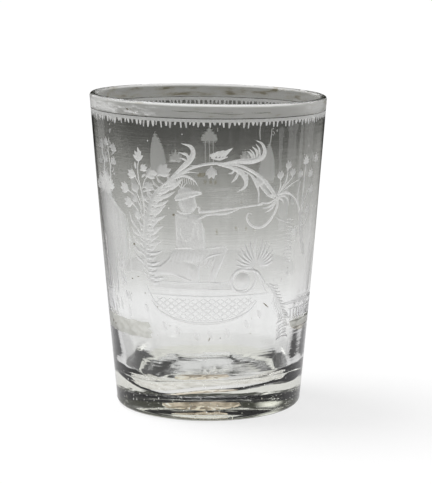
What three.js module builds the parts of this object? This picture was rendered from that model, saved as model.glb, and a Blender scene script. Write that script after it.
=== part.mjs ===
// A conical drinking beaker of thick, hand-blown glass: one gather of glass with a rounded
// lip, a wall that thickens down to a heavy base, and a shallow kick with a pontil mark
// underneath. It is a single solid turned round +Z. Millimetres; the origin is the middle
// of the foot, on the surface that the beaker stands on.
import * as THREE from "three";

// Driving dimensions
const height = 114.6; // table to the highest point of the lip
const rimRadius = 43.1; // outside, where the lip begins
const footRadius = 33.8; // outside, where the line of the wall meets the table
const wallBow = 0.25; // how far the outside bulges between foot and rim
const rimWall = 2.3; // thickness of the wall below the lip
const lowerWall = 3.4; // thickness that the even taper would reach at the inner floor
const baseSwell = 1.5; // how much thicker than that the glass is at the inner corner
const swellTop = 37; // level where this thickening begins
const swellEase = 1.5; // 1 would be a straight taper; more sets in more softly
const floorThickness = 9; // table to the inner floor
const heelRadius = 2.2; // rounding between foot and outer wall
const cornerWidth = 14; // how far the rounding of the inner corner reaches over the floor
const cornerHeight = 9; // how far it reaches up the inner wall
const footRingWidth = 8.8; // flat ring that the beaker stands on
const kickDepth = 2.6; // rise of the hollow inside the foot ring
const pontilRadius = 10.5; // scar of the rod that held the hot glass
const pontilRise = 1.2; // how far the scar stands down from the kick
const pontilFlat = 0.85; // share of the scar's radius that lies low, before it steps up to the kick

// How finely round stretches are cut
const turns = 72;
const wallSteps = 9;
const swellSteps = 5;
const arcSteps = 6;
const kickSteps = 6;

const lipRadius = rimWall / 2; // the lip is a full round
const lipLevel = height - lipRadius;
const wallTilt = Math.atan2(rimRadius - footRadius, height);
const cornerTop = floorThickness + cornerHeight;

// Outside radius of the wall at a level, straight but for a slight bow
function outerRadius(level) {
  const share = level / height;
  return footRadius + (rimRadius - footRadius) * share + 4 * wallBow * share * (1 - share);
}

// Inside radius of the wall at a level; the wall thins evenly towards the lip, and swells
// out to meet the base between swellTop and the round of the inner corner
function innerRadius(level) {
  const share = (level - floorThickness) / (lipLevel - floorThickness);
  const swell = THREE.MathUtils.clamp((swellTop - level) / (swellTop - cornerTop), 0, 1);
  return outerRadius(level) - THREE.MathUtils.lerp(lowerWall, rimWall, share) - baseSwell * swell ** swellEase;
}

// Points of an arc about (radius, level), with both ends; it is wide across and high upwards
function arc(radius, level, wide, high, from, to, steps) {
  return Array.from({ length: steps + 1 }, (_, i) => {
    const angle = THREE.MathUtils.lerp(from, to, i / steps);
    return new THREE.Vector2(radius + wide * Math.cos(angle), level + high * Math.sin(angle));
  });
}

// Points of the wall between two levels, without the ends
function wall(radiusAt, fromLevel, toLevel, steps) {
  return Array.from({ length: steps - 1 }, (_, i) => {
    const level = THREE.MathUtils.lerp(fromLevel, toLevel, (i + 1) / steps);
    return new THREE.Vector2(radiusAt(level), level);
  });
}

// Underside, from the axis outwards: pontil scar, then the rise of the kick down to the foot ring
function underside() {
  const ringInner = footRadius - heelRadius - footRingWidth;
  const kickLevel = (radius) => kickDepth * Math.cos((Math.PI / 2) * (radius / ringInner));
  const scar = [
    new THREE.Vector2(0, kickLevel(0) - pontilRise),
    new THREE.Vector2(pontilFlat * pontilRadius, kickLevel(pontilRadius) - pontilRise),
  ];
  const rise = Array.from({ length: kickSteps + 1 }, (_, i) => {
    const radius = THREE.MathUtils.lerp(pontilRadius, ringInner, i / kickSteps);
    return new THREE.Vector2(radius, i === kickSteps ? 0 : kickLevel(radius));
  });
  return [...scar, ...rise];
}

function heel() {
  const tangentLevel = heelRadius * (1 - Math.sin(wallTilt));
  const centre = outerRadius(tangentLevel) - heelRadius * Math.cos(wallTilt);
  return arc(centre, heelRadius, heelRadius, heelRadius, -Math.PI / 2, -wallTilt, arcSteps);
}

function lip() {
  const centre = outerRadius(lipLevel - lipRadius * Math.sin(wallTilt)) - lipRadius * Math.cos(wallTilt);
  return arc(centre, lipLevel, lipRadius, lipRadius, -wallTilt, Math.PI - wallTilt, 2 * arcSteps);
}

// Round of the inner corner, from the inner wall down to the inner floor
function innerCorner() {
  const centre = innerRadius(cornerTop) - cornerWidth;
  return arc(centre, cornerTop, cornerWidth, cornerHeight, 0, -Math.PI / 2, 2 * arcSteps);
}

// Inner wall from the lip down to the corner, with a point where the thickening begins
function inside() {
  const swellStart = new THREE.Vector2(innerRadius(swellTop), swellTop);
  const above = wall(innerRadius, lipLevel, swellTop, wallSteps);
  return [...above, swellStart, ...wall(innerRadius, swellTop, cornerTop, swellSteps)];
}

function beakerProfile() {
  const outside = wall(outerRadius, heelRadius, lipLevel, wallSteps);
  const middleOfFloor = new THREE.Vector2(0, floorThickness);
  return [...underside(), ...heel(), ...outside, ...lip(), ...inside(), ...innerCorner(), middleOfFloor];
}

const clearGlass = new THREE.MeshStandardMaterial({
  color: new THREE.Color(0.84, 0.86, 0.84),
  roughness: 0.05,
  metalness: 0,
  transparent: true,
  opacity: 0.35,
});

// The lathe turns its profile round +Y, so the solid is stood up on +Z
const beakerBody = new THREE.LatheGeometry(beakerProfile(), turns);
beakerBody.rotateX(Math.PI / 2);

const beaker = new THREE.Mesh(beakerBody, clearGlass);
beaker.name = "beaker";

const part = new THREE.Group();
part.add(beaker);

export default part;
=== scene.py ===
import math

import bpy
import numpy as np
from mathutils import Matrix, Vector
from mathutils.geometry import delaunay_2d_cdt


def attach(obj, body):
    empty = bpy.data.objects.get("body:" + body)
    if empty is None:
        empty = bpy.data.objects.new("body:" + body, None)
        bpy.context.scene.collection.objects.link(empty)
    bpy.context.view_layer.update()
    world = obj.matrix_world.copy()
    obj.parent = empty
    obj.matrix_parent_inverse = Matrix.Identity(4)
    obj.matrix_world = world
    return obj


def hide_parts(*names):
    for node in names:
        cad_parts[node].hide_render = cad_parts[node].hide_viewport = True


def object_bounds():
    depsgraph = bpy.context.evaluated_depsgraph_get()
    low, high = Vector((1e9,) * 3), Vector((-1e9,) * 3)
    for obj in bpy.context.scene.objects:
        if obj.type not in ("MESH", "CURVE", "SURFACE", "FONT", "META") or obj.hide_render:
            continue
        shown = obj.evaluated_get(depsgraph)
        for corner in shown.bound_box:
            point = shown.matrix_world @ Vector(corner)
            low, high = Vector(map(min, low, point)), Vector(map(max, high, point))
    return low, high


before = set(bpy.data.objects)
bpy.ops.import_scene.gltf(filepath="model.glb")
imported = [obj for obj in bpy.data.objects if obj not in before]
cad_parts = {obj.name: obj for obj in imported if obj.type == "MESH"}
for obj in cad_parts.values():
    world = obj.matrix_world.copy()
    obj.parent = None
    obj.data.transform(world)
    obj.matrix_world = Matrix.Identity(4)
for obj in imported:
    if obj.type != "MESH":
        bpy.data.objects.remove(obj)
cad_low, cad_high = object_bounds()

# The blown body: one gather of thick clear glass, blown, opened and fire-polished at the lip. It
# narrows downwards while its wall thickens to a heavy base, and its outside is a little uneven.
MM = 0.001
height = cad_high.z
rim_radius = 43.1 * MM
foot_radius = 33.8 * MM
wall_bow = 0.25 * MM
rim_wall = 2.3 * MM
lower_wall = 3.4 * MM
base_swell = 1.5 * MM
swell_top = 37 * MM
floor_level = 9 * MM
corner_width = 14 * MM
corner_level = 18 * MM
lip_radius = rim_wall / 2
lip_lean = 0.8 * MM
lip_level = height - lip_lean - lip_radius
wall_tilt = math.atan2(rim_radius - foot_radius, height)


def outer_radius(level):
    share = level / height
    return foot_radius + (rim_radius - foot_radius) * share + 4 * wall_bow * share * (1 - share)


def inner_radius(level):
    share = (level - floor_level) / (lip_level - floor_level)
    swell = min(1, max(0, (swell_top - level) / (swell_top - corner_level)))
    return outer_radius(level) - (lower_wall + (rim_wall - lower_wall) * share) - base_swell * swell**1.5


def arc(radius, level, wide, high, start, end, steps):
    """Points of an arc, wide across and high upwards, about a radius and level, with both ends"""
    turns = [start + (end - start) * i / steps for i in range(steps + 1)]
    return [(radius + wide * math.cos(turn), level + high * math.sin(turn)) for turn in turns]


def on_circle(radius, angle, level):
    """A point at an angle round the axis, from the front towards the viewer's right"""
    return Vector((radius * math.sin(angle), -radius * math.cos(angle), level))


unevenness = 0.05 * MM
lean_from = 85 * MM
small_turn = 0.001
small_rise = 0.04 * MM


def leaning(angle, level):
    """The level that a level of the turned form really has, since the lip stands higher at the left"""
    share = max(0, level - lean_from) / (lip_level + lip_radius - lean_from)
    return level - lip_lean * share**2 * math.sin(angle)


def outer_point(angle, level):
    """The outside wall as the blower left it, never outside the turned form"""
    dent = 1 + 0.5 * math.sin(3 * angle + 25 * level) + 0.5 * math.sin(8 * angle - 60 * level + 1)
    level = leaning(angle, level)
    return on_circle(outer_radius(level) - unevenness * dent, angle, level)


def outer_normal(angle, level):
    across = outer_point(angle + small_turn, level) - outer_point(angle - small_turn, level)
    upward = outer_point(angle, level + small_rise) - outer_point(angle, level - small_rise)
    return across.cross(upward).normalized()


# The engraver's wheel: small copper discs fed with grit, held against the outside. Each touch
# leaves a cut, and every cut is written as a line on the unrolled wall, in millimetres: s runs
# round the wall from the front towards the viewer's right, and z is the height over the table.
cuts = []
fields = []


def smooth_line(points, step, closed=False):
    """Points about a step apart on a smooth line, or ring, through the given ones"""
    points = [np.array(p, float) for p in points]
    if closed:
        padded = [points[-1], *points, points[0], points[1]]
    else:
        padded = [2 * points[0] - points[1], *points, 2 * points[-1] - points[-2]]
    line = [points[0]]
    for a, b, c, d in zip(padded, padded[1:], padded[2:], padded[3:]):
        pieces = max(1, math.ceil(np.linalg.norm(c - b) / step))
        for i in range(1, pieces + 1):
            t = i / pieces
            line.append(
                0.5 * (2 * b + (c - a) * t + (2 * a - 5 * b + 4 * c - d) * t**2
                       + (3 * b - a - 3 * c + d) * t**3)
            )
    return np.array(line[:-1] if closed else line)


fine_below = 62.0
fine_share = 0.85


def cut(points, widths, depth=0.16, finish="bright", step=0.9):
    """One touch of the wheel along a line; the widths are spread evenly over its length. Lower
    down a finer wheel was used, which left the cuts nearly clear."""
    line = smooth_line(points, step)
    if finish == "bright" and line[:, 1].mean() < fine_below:
        finish = "polished"
        depth *= fine_share
    along = np.concatenate([[0], np.cumsum(np.linalg.norm(np.diff(line, axis=0), axis=1))])
    width = np.interp(along / along[-1], np.linspace(0, 1, len(widths)), widths)
    cuts.append({"line": line, "half": width / 2, "depth": depth, "finish": finish})


def leaf(base, tip, width, bend=0.0, depth=0.18, finish="bright"):
    """A cut with a full middle and pointed ends, its middle pushed sideways by a share of its length"""
    base = np.array(base, float)
    tip = np.array(tip, float)
    run = tip - base
    middle = (base + tip) / 2 + bend * np.array([-run[1], run[0]])
    cut([base, middle, tip], (0.3 * width, 0.85 * width, width, 0.7 * width, 0.05), depth, finish)


def field(points, depth=0.08, finish="soft", edge=0.9, rounded=True):
    """A patch ground matt inside an outline, a little hollow in the middle"""
    ring = smooth_line(points, 1.0, True) if rounded else np.array(points, float)
    fields.append({"ring": ring, "depth": depth, "finish": finish, "edge": edge})


def turned(point, angle):
    """A point turned about the origin, in degrees"""
    c = math.cos(math.radians(angle))
    s = math.sin(math.radians(angle))
    return np.array([c * point[0] - s * point[1], s * point[0] + c * point[1]])


# The border under the rim: a matt band with a row of short upright nicks hanging from it,
# ground freehand, so that their lengths and gaps vary.
band_low = 107.5
band_high = 108.6
teeth = 158
around = 40
wrap = 2 * math.pi * around
seam = -80.0
chance = np.random.default_rng(7)


def jitter(most):
    """A chance shift either way, since the wheel is held by hand"""
    return most * chance.uniform(-1, 1)


for number in range(teeth):
    s = seam + wrap * (number + 0.5 + jitter(0.22)) / teeth
    reach = 1.55 + jitter(0.7)
    lean = jitter(0.3)
    thick = (1.3 if 32 < abs(s) < 60 else 0.85) + jitter(0.3)
    cut([(s, band_low + 0.1), (s + lean, band_low - reach)], (thick, 0.8 * thick, 0.4), 0.1,
        "soft" if abs(s) > wrap / 4 or number % 3 == 0 else "bright")

# The scroll arch over the huntsman: a C scroll with curled leaves, cut with a broad round wheel
# in long sweeps, each sweep one tapering cut.
cut([(-19, 83), (-14, 86.6), (-9, 90.0), (-4, 92.3), (1, 93.3), (6, 93.2)], (0.5, 0.9, 1.0, 0.8), 0.2)
cut([(-16, 85.2), (-11, 88.6), (-7, 90.2), (-3.2, 90.0)], (0.5, 0.8, 0.6, 0.1), 0.14)
cut([(-13, 88.0), (-9.3, 91.3), (-6.3, 94.2), (-5.0, 97), (-5.9, 99.2), (-8.9, 100.1)],
    (0.4, 1.1, 1.9, 1.9, 1.3, 0.1), 0.3)
cut([(-6.6, 94.6), (-7.2, 96.3), (-9.8, 97.0)], (0.6, 1.1, 0.1), 0.2)
cut([(-7.2, 93.6), (-8.0, 94.7), (-9.9, 95.0)], (0.5, 0.7, 0.1), 0.16)
cut([(-5.4, 95.2), (-4.1, 95.3)], (0.6, 0.1), 0.12)
cut([(-13, 87.2), (-9, 88.9), (-6, 88.2), (-4.3, 86.8), (-3.6, 85.4)], (0.3, 0.9, 1.0, 0.7, 0.1), 0.2)
for number in range(9):
    s = -11.2 + 0.75 * number
    cut([(s, 88.4 - 0.05 * number), (s + 0.25, 86.3 - 0.12 * abs(number - 4))], (0.22, 0.22), 0.05)
cut([(4, 93.2), (9.5, 93.9), (14.5, 93.9), (18.4, 94.9), (19.3, 97.2), (18.2, 99.8), (15.9, 101.1)],
    (0.5, 1.0, 1.9, 2.1, 1.7, 1.1, 0.1), 0.3)
cut([(15.2, 94.3), (14.3, 96.4), (12.8, 97.4)], (0.5, 1.0, 0.1), 0.2)
cut([(16.6, 94.6), (16.4, 97.2), (14.6, 99.0)], (0.6, 1.1, 0.1), 0.2)
cut([(14.2, 94.2), (12.9, 96.0)], (0.5, 0.1), 0.14)
cut([(17.6, 95.2), (17.2, 98.0), (15.9, 99.9)], (0.4, 0.8, 0.1), 0.16)
cut([(15.8, 94.4), (15.2, 96.6), (13.7, 98.2)], (0.4, 0.7, 0.1), 0.16)
cut([(13.2, 94.1), (11.8, 95.3)], (0.4, 0.1), 0.12)
cut([(14.5, 91.0), (16.5, 89.2), (20.4, 83.9), (22.6, 81.0)], (0.5, 1.2, 1.3, 0.5), 0.08, "faint")
cut([(3, 93.0), (8, 91.7), (11.4, 89.6), (12.9, 87.0), (12.4, 84.8), (9.8, 83.2)],
    (0.5, 1.0, 1.6, 1.7, 1.2, 0.1), 0.28)
cut([(10.2, 90.3), (9.3, 88.2), (7.8, 86.6)], (0.5, 1.1, 0.2), 0.2)
cut([(8.9, 91.2), (7.9, 89.9), (6.6, 89.8)], (0.5, 0.8, 0.1), 0.16)
cut([(13.0, 89.4), (13.7, 87.4)], (0.6, 0.1), 0.12)
cut([(4, 93.0), (10, 92.6), (15, 90.2), (19, 87.2), (22, 83.6), (24.6, 80.6)],
    (0.4, 0.8, 1.1, 1.2, 1.0, 0.7), 0.22)
cut([(9, 92.0), (14, 89.4), (17.2, 86.4), (19.4, 83.6), (21.8, 81.2), (24.2, 80.2)],
    (0.3, 0.6, 0.8, 0.8, 0.5), 0.16)
cut([(14.5, 88.8), (16.4, 85.8), (17.6, 83.0), (17.8, 78.8)], (0.3, 0.8, 0.6, 0.4), 0.14)
cut([(17.6, 88.8), (20.8, 86.2), (23.2, 83.2), (24.9, 80.8)], (0.2, 0.5, 0.6, 0.4), 0.12)
for base, tip in (((1.0, 95.4), (2.4, 97.0)), ((1.8, 95.2), (3.8, 97.7)), ((2.9, 95.1), (5.2, 98.0)),
                  ((4.0, 95.1), (6.6, 98.1)), ((5.0, 95.2), (8.1, 98.7)), ((0.6, 95.7), (1.2, 96.6))):
    leaf(base, tip, 1.2, 0.1)
cut([(0.9, 95.3), (3.5, 94.8), (6.4, 95.6)], (0.3, 0.9, 0.3), 0.14)
for points in (((-9.0, 90.9), (-6.6, 93.6), (-5.5, 96.8), (-6.2, 98.9)),
               ((11.0, 94.2), (15.4, 94.5), (17.8, 96.0), (17.9, 98.4)),
               ((-6.4, 92.4), (-2.0, 93.0), (3.0, 93.4)), ((16.0, 95.2), (16.2, 97.0), (15.6, 98.4)),
               ((-7.0, 95.4), (-7.9, 96.5), (-9.2, 96.9))):
    cut(points, (0.12, 0.3, 0.3, 0.1), 0.36, "polished")

# The knot of leaves at the arch's right end, and the loop that hangs from it, cut as the arch is
# with the broad wheel, and finished with thin curling stems.
cut([(25.2, 80.8), (25.6, 77.6), (24.0, 74.2), (21.3, 71.2), (18.0, 70.2), (15.0, 71.5), (13.5, 74.0),
     (14.1, 75.6), (15.4, 75.2)], (0.9, 1.1, 1.0, 1.0, 1.1, 1.0, 0.8, 0.2), 0.22)
for points in (((25, 80.0), (22, 78.7), (19, 78.8), (17, 78.0)), ((25, 79.4), (22.4, 77.4), (19.2, 77.0)),
               ((24.9, 78.6), (22.8, 76.4), (20.4, 75.4)), ((24.9, 80.6), (22.6, 81.4), (20.6, 81.2)),
               ((25.4, 81.0), (28.4, 82.0), (31.2, 81.3), (33.2, 80.0)),
               ((25.6, 80.4), (28.6, 80.6), (30.4, 79.0), (30.8, 77.2)),
               ((25.6, 80.0), (27.6, 79.4), (28.4, 78.0))):
    cut(points, (0.4, 0.8, 0.7, 0.1), 0.16)
cut([(25.6, 81.0), (27.4, 83.8), (29.2, 86.4), (29.6, 90.4)], (0.4, 0.7, 0.5, 0.1), 0.16)
cut([(25.4, 81.2), (26.4, 84.0), (26.4, 87.0)], (0.4, 0.6, 0.2), 0.14)
cut([(26.4, 82.4), (30.5, 85.6), (32.2, 87.2)], (0.3, 0.5, 0.3), 0.12)
cut([(27.5, 82.6), (32.5, 84.8), (36.0, 85.8)], (0.3, 0.5, 0.2), 0.12)

# Flower sprays beside the arch: thin stalks with buds, bells and small leaves, each petal one
# short touch of a small round wheel.


def bell(at, angle, size=1.0, finish="bright"):
    """A bell flower of four short touches that open from its stalk, towards the given angle"""
    at = np.array(at)
    for spread, length, width in ((-38, 3.0, 1.5), (-13, 3.7, 1.8), (13, 3.6, 1.8), (38, 2.9, 1.5)):
        leaf(at, at + turned((length * size, 0), angle + spread), width * size, 0, 0.2, finish)
    back = turned((-0.7 * size, 0), angle)
    cut([at + back, at - back * 1.6], (0.6, 1.6 * size), 0.16, finish)


cut([(-24.6, 66), (-23.9, 72), (-23.6, 77), (-24.2, 82), (-25.3, 87), (-25.5, 90.5), (-25.0, 93.2)],
    (0.9, 0.7, 0.6, 0.5, 0.4), 0.14)
bud = np.array([-25.1, 93.2])
for spread, length, width in ((-22, 3.9, 1.7), (0, 4.9, 1.6), (22, 3.9, 1.7), (-46, 3.0, 1.5),
                              (46, 3.0, 1.5)):
    leaf(bud, bud + turned((0, length), spread), width, 0.1 if spread < 0 else -0.1, 0.22)
leaf((-26.3, 90.4), (-26.6, 93.0), 0.9)
for at, aim, size in (((-24.0, 90.3), 35, 0.75), ((-27.0, 88.0), 163, 0.95), ((-30.6, 82.6), 158, 1.1),
                      ((-29.0, 78.2), 178, 1.05)):
    bell(at, aim, size)
leaf((-24.0, 87.6), (-22.4, 89.0), 0.9)
cut([(-23.9, 83.6), (-22.6, 87.0), (-20.6, 88.6)], (0.4, 0.4, 0.3), 0.1)
leaf((-21.2, 88.4), (-17.4, 89.4), 1.9, 0.12)
cut([(-30.6, 82.5), (-27.4, 80.8), (-25.2, 77.2), (-24.6, 73)], (0.4, 0.5, 0.5, 0.3), 0.12)
cut([(-29.0, 78.1), (-26.8, 76.4), (-24.9, 72.6)], (0.4, 0.5, 0.3), 0.12)
cut([(-27.0, 87.9), (-25.9, 86.2), (-25.2, 84.8)], (0.3, 0.4, 0.3), 0.1)
cut([(-26.6, 82.2), (-25.3, 79.6), (-24.4, 76.0)], (0.3, 0.4, 0.3), 0.1)
for base, tip in (((-24.0, 84.0), (-19.2, 85.4)), ((-23.9, 82.6), (-19.0, 83.6)),
                  ((-28.6, 80.0), (-26.6, 79.0))):
    leaf(base, tip, 1.2, 0.08, 0.12, "soft")
low_bud = np.array([-27.1, 72.8])
for spread in (-16, 0, 16):
    leaf(low_bud, low_bud + turned((0, 2.7), spread), 1.2)
cut([(-27.1, 72.9), (-25.6, 70.4), (-24.8, 67.0)], (0.3, 0.4, 0.4), 0.1)
cut([(-30.6, 75.0), (-29.4, 71.6), (-26.6, 68.6), (-25.0, 65.0)], (0.3, 0.8, 0.8, 0.3), 0.14)
for z, reach in ((66.5, 5.4), (63.6, 5.0), (60.4, 4.6), (57.4, 4.2)):
    leaf((-24.8, z), (-24.8 - reach, z + 3.2), 1.1, 0.12, 0.14)
for at, aim in (((26.4, 87.0), 95), ((32.0, 87.4), 85), ((35.8, 86.6), 60), ((29.6, 90.2), 80)):
    bell(at, aim, 0.8, "soft")
for at, aim, size in (((-17.0, 89.2), 38, 1.35), ((-21.8, 88.5), 22, 1.1), ((-13.6, 87.9), -55, 1.0),
                      ((-26.5, 82.4), 112, 0.95), ((-22.8, 84.4), 15, 0.9), ((-27.0, 79.0), 130, 0.7),
                      ((-23.8, 79.8), 45, 0.6), ((-26.2, 72.8), 110, 0.75), ((1.0, 91.7), -90, 1.05),
                      ((17.4, 84.9), 78, 1.1)):
    bell(at, aim, size, "soft")

# The fern on the scroll's left limb: a matt spine, ground first, and one blade after another
# struck off it to both sides, the longer ones to the right.
spine = smooth_line([(-15.0, 86.0), (-18.2, 83.0), (-20.6, 79.0), (-22.4, 73.5), (-23.6, 67.5),
                     (-24.0, 61.5), (-23.6, 55.5), (-22.2, 50.0)], 0.5)
cut(spine[::9], (0.6, 1.6, 2.0, 1.9, 1.4, 0.7), 0.12, "soft")
blades = 22
for number in range(blades):
    share = (number + 0.5) / blades
    base = spine[int(share * (len(spine) - 1))]
    reach = 6.9 + 1.3 * math.sin(2.6 * number) - 1.5 * share
    lift = 2.3 - 2.4 * share
    leaf(base + np.array([0.2, -0.6]), base + np.array([reach, lift]), 1.35, -0.10, 0.2)
    leaf(base + np.array([0.2, -0.2]), base + np.array([0.6 * reach, 0.75 * lift + 0.9]), 0.7, -0.1, 0.12)
    leaf(base + np.array([-0.1, 0.0]), base + np.array([-0.42 * reach, 0.5 * lift + 1.9]), 0.9, 0.12,
         0.12, "soft")

# The huntsman: a small kneeling figure with a broad hat and a long gun, ground matt in flat
# hollows, with the folds and edges drawn by a finer wheel. The face is a plain rounded one.
field([(-11.4, 80.5), (-10.6, 82.4), (-10.3, 84.0), (-8.6, 84.9), (-6.2, 84.6), (-4.4, 83.6),
       (-2.3, 83.0), (-6.6, 81.6)], 0.12, "soft")
cut([(-11.6, 80.3), (-9.0, 80.8), (-6.0, 81.8), (-2.2, 82.8)], (0.5, 0.9, 0.9, 0.4), 0.24)
cut([(-2.2, 83.1), (-4.2, 83.4), (-7.4, 82.9), (-10.6, 82.3), (-11.6, 80.6)], (0.6, 0.8, 0.4, 0.4, 0.6), 0.18)
for lean in (-1.3, -0.4, 0.5):
    cut([(-8.9, 84.2), (-8.7 + lean, 85.6), (-7.9 + 1.7 * lean, 86.6)], (0.4, 0.4, 0.1), 0.08)
field([(-10.0, 80.2), (-10.1, 78.0), (-9.0, 76.3), (-6.6, 75.8), (-4.9, 76.6), (-4.5, 78.0), (-4.6, 79.6),
       (-4.9, 81.6)], 0.16, "soft", 1.2)
cut([(-4.7, 81.6), (-4.5, 79.6), (-4.2, 78.7), (-4.8, 77.4), (-6.0, 76.3)], (0.4, 0.6, 0.7, 0.5, 0.3), 0.16)
cut([(-6.3, 79.1), (-5.5, 79.0)], (0.3, 0.25), 0.05, "polished")
cut([(-5.9, 77.4), (-5.1, 77.4)], (0.25, 0.2), 0.05, "polished")
for number in range(5):
    cut([(-10.0 + 0.3 * number, 80.2 - 0.5 * number), (-9.3 + 0.2 * number, 78.2 - 0.5 * number)],
        (0.5, 0.3), 0.1)
field([(-11.4, 75.0), (-8.0, 75.4), (-3.6, 75.2), (-2.0, 72.0), (-1.3, 67.5), (-1.3, 63.4), (-6.0, 63.0),
       (-11.0, 63.2), (-11.6, 69.0)], 0.14, "soft", 1.5)
for points in (((-11.5, 75.4), (-10.4, 74.7), (-7.4, 74.1)), ((-10.9, 76.5), (-8.6, 75.7), (-6.0, 76.0)),
               ((-10.9, 73.6), (-11.2, 69.0), (-10.7, 63.4)), ((-2.3, 72.6), (-1.6, 68.5), (-1.5, 63.5)),
               ((-9.7, 71.6), (-9.6, 68.0), (-8.4, 66.3), (-6.8, 66.2), (-5.7, 68.0), (-5.0, 71.0),
                (-3.6, 73.4)), ((-5.8, 73.4), (-4.6, 72.4), (-3.2, 72.6)), ((-3.7, 71.6), (-3.4, 66.0)),
               ((-12.0, 63.2), (-8.0, 63.6), (-5.0, 63.2)), ((-3.4, 76.4), (-3.1, 77.9), (-3.9, 78.2)),
               ((-5.5, 77.5), (-4.6, 77.7)), ((-3.4, 74.0), (-2.0, 74.6), (-0.4, 75.4))):
    cut(points, (0.5, 0.9, 0.8, 0.5), 0.2)
cut([(-3.4, 76.3), (0.0, 76.5), (6.0, 77.2), (13.0, 77.9), (19.4, 78.4)], (0.9, 0.9, 0.7, 0.6, 0.5), 0.2)
cut([(-0.6, 75.3), (2.0, 75.6), (5.0, 75.6), (7.4, 76.1), (10.6, 77.2)], (0.7, 0.8, 0.7, 0.3), 0.18)
field([(-12.0, 62.6), (-6.0, 63.4), (0.0, 63.4), (6.4, 63.8), (6.4, 62.2), (3.8, 61.4), (0.4, 60.8),
       (-2.4, 58.9), (-7.6, 57.8), (-13.0, 57.6), (-14.4, 60.0)], 0.14, "soft", 1.4)
field([(6.4, 63.2), (5.6, 60.4), (4.2, 56.6), (2.6, 52.6), (2.8, 51.1), (1.0, 51.1), (0.6, 52.6),
       (1.8, 57.0), (2.8, 60.8)], 0.12, "faint", 1.1)
field([(-13.6, 59.6), (-19.6, 55.4), (-20.6, 52.4), (-17.6, 53.4), (-11.4, 53.4), (-5.6, 51.2),
       (-3.4, 51.2), (-3.4, 56.0), (-7.0, 58.2)], 0.12, "faint", 1.1)
for points in (((-1.0, 63.3), (2.6, 63.8), (5.6, 64.1), (6.5, 63.3)),
               ((6.3, 63.0), (5.2, 60.0), (4.2, 57.6), (2.8, 54.8), (1.6, 51.6)),
               ((2.8, 59.0), (1.4, 54.6), (0.8, 51.6)),
               ((-2.3, 58.9), (-0.4, 60.2), (1.8, 61.1), (5.6, 61.7)),
               ((-12.6, 62.2), (-14.8, 58.8), (-19.4, 55.0), (-20.6, 52.6)),
               ((-19.0, 54.2), (-13.6, 54.1), (-9.6, 52.8), (-5.4, 51.3)),
               ((-6.8, 57.8), (-7.2, 54.6), (-6.0, 52.4)), ((-3.2, 58.4), (-3.6, 55.0), (-3.2, 52.0))):
    cut(points, (0.4, 0.8, 0.8, 0.4), 0.2)
for number in range(11):
    s = -12.0 + 1.45 * number
    z = 61.6 - 0.1 * number + jitter(0.6)
    cut([(s, z), (s - 0.9, z - 2.2), (s - 1.2, z - 3.6 + jitter(1))], (0.3, 0.8, 0.2), 0.14)
for number in range(9):
    s = -10.6 + 1.05 * number
    z = 72.6 + jitter(1.2)
    cut([(s, z), (s + 0.3, z - 3.4), (s + 0.1, z - 6.4 + jitter(1))], (0.2, 0.6, 0.2), 0.1, "faint")
coat_touches = 16
for number in range(coat_touches):
    s = chance.uniform(-11.0, -2.4)
    z = chance.uniform(65.0, 74.0)
    cut([(s, z), (s + 0.5, z - 1.0), (s + jitter(0.5), z - 2.4)], (0.2, 0.7, 0.2), 0.12,
        ("soft", "faint")[number % 2])
cut([(0.6, 51.2), (2.6, 50.9), (4.8, 50.8)], (0.5, 0.8, 0.2), 0.14)

# The basket under the huntsman: a shallow bowl with a plain rim, filled with crossed lines that a
# thin wheel has cut and worn smooth.
basket_top = 45.6
basket_low = 36.4
basket_middle = -1.8
basket_half = 21.0


def basket_edge(s):
    """The level of the basket's lower edge at s"""
    share = min(1.0, abs(s - basket_middle) / basket_half)
    return basket_top - (basket_top - basket_low) * math.sqrt(1 - share**2)


field([(-23.0, 50.9), (-8.0, 50.6), (8.0, 50.6), (8.6, 48.6), (-8.0, 48.7), (-22.6, 49.0)], 0.06, "soft",
      0.6, False)
for level, start, end, width in ((51.2, -23.4, 8.0, 0.5), (48.9, -22.8, 8.4, 0.35), (46.3, -22.4, 24.0, 0.6)):
    cut([(start, level), ((start + end) / 2, level - 0.15), (end, level)], (0.2, width, width, 0.2), 0.12,
        step=1.4)
edge_line = [(s, basket_edge(s)) for s in np.linspace(basket_middle - 20.6, basket_middle + 20.6, 17)]
cut(edge_line, (0.5, 0.8, 0.9, 0.8, 0.5), 0.18)
cut([(s, level + 1.0) for s, level in edge_line[2:-2]], (0.1, 0.35, 0.4, 0.35, 0.1), 0.1)
cut([(-24.6, 49.6), (-22.6, 45.6), (-19.6, 41.8)], (0.3, 0.7, 0.4), 0.14)
lattice_level = 41.0
lattice_slope = 0.7
spacing = 3.1
for slope in (-lattice_slope, lattice_slope):
    for number in range(-12, 13):
        centre = basket_middle + number * spacing
        inside = []
        for step in range(-26, 27):
            level = lattice_level + 0.2 * step
            s = centre + (level - lattice_level) / slope
            if abs(s - basket_middle) < basket_half - 0.8 and basket_edge(s) + 0.6 < level < basket_top - 0.2:
                inside.append((s, level))
        if len(inside) > 6:
            cut([inside[0], inside[len(inside) // 2], inside[-1]], (0.4, 0.75, 0.4), 0.07, step=1.4)

# Drops that hang under the basket in a row that follows its edge, each one touch of a broader
# wheel, rubbed nearly clear since.
drops = 8
drop_spacing = 6.4
for number in range(drops):
    s = basket_middle + (number - (drops - 1) / 2) * drop_spacing + jitter(0.8)
    top = basket_edge(s * 0.92) - 2.2 - 1.6 * chance.uniform()
    cut([(s - 0.8, top), (s, top - 1.2), (s + 0.5, top - 2.8)], (0.5, 1.8, 1.6, 0.4), 0.2, step=0.7)

# The volute at the basket's right end: a broad groove curled round a shallow hollow, and the line
# that runs out of it into a long leaf with a blade at every touch.
eye = np.array([12.6, 51.5])


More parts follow.
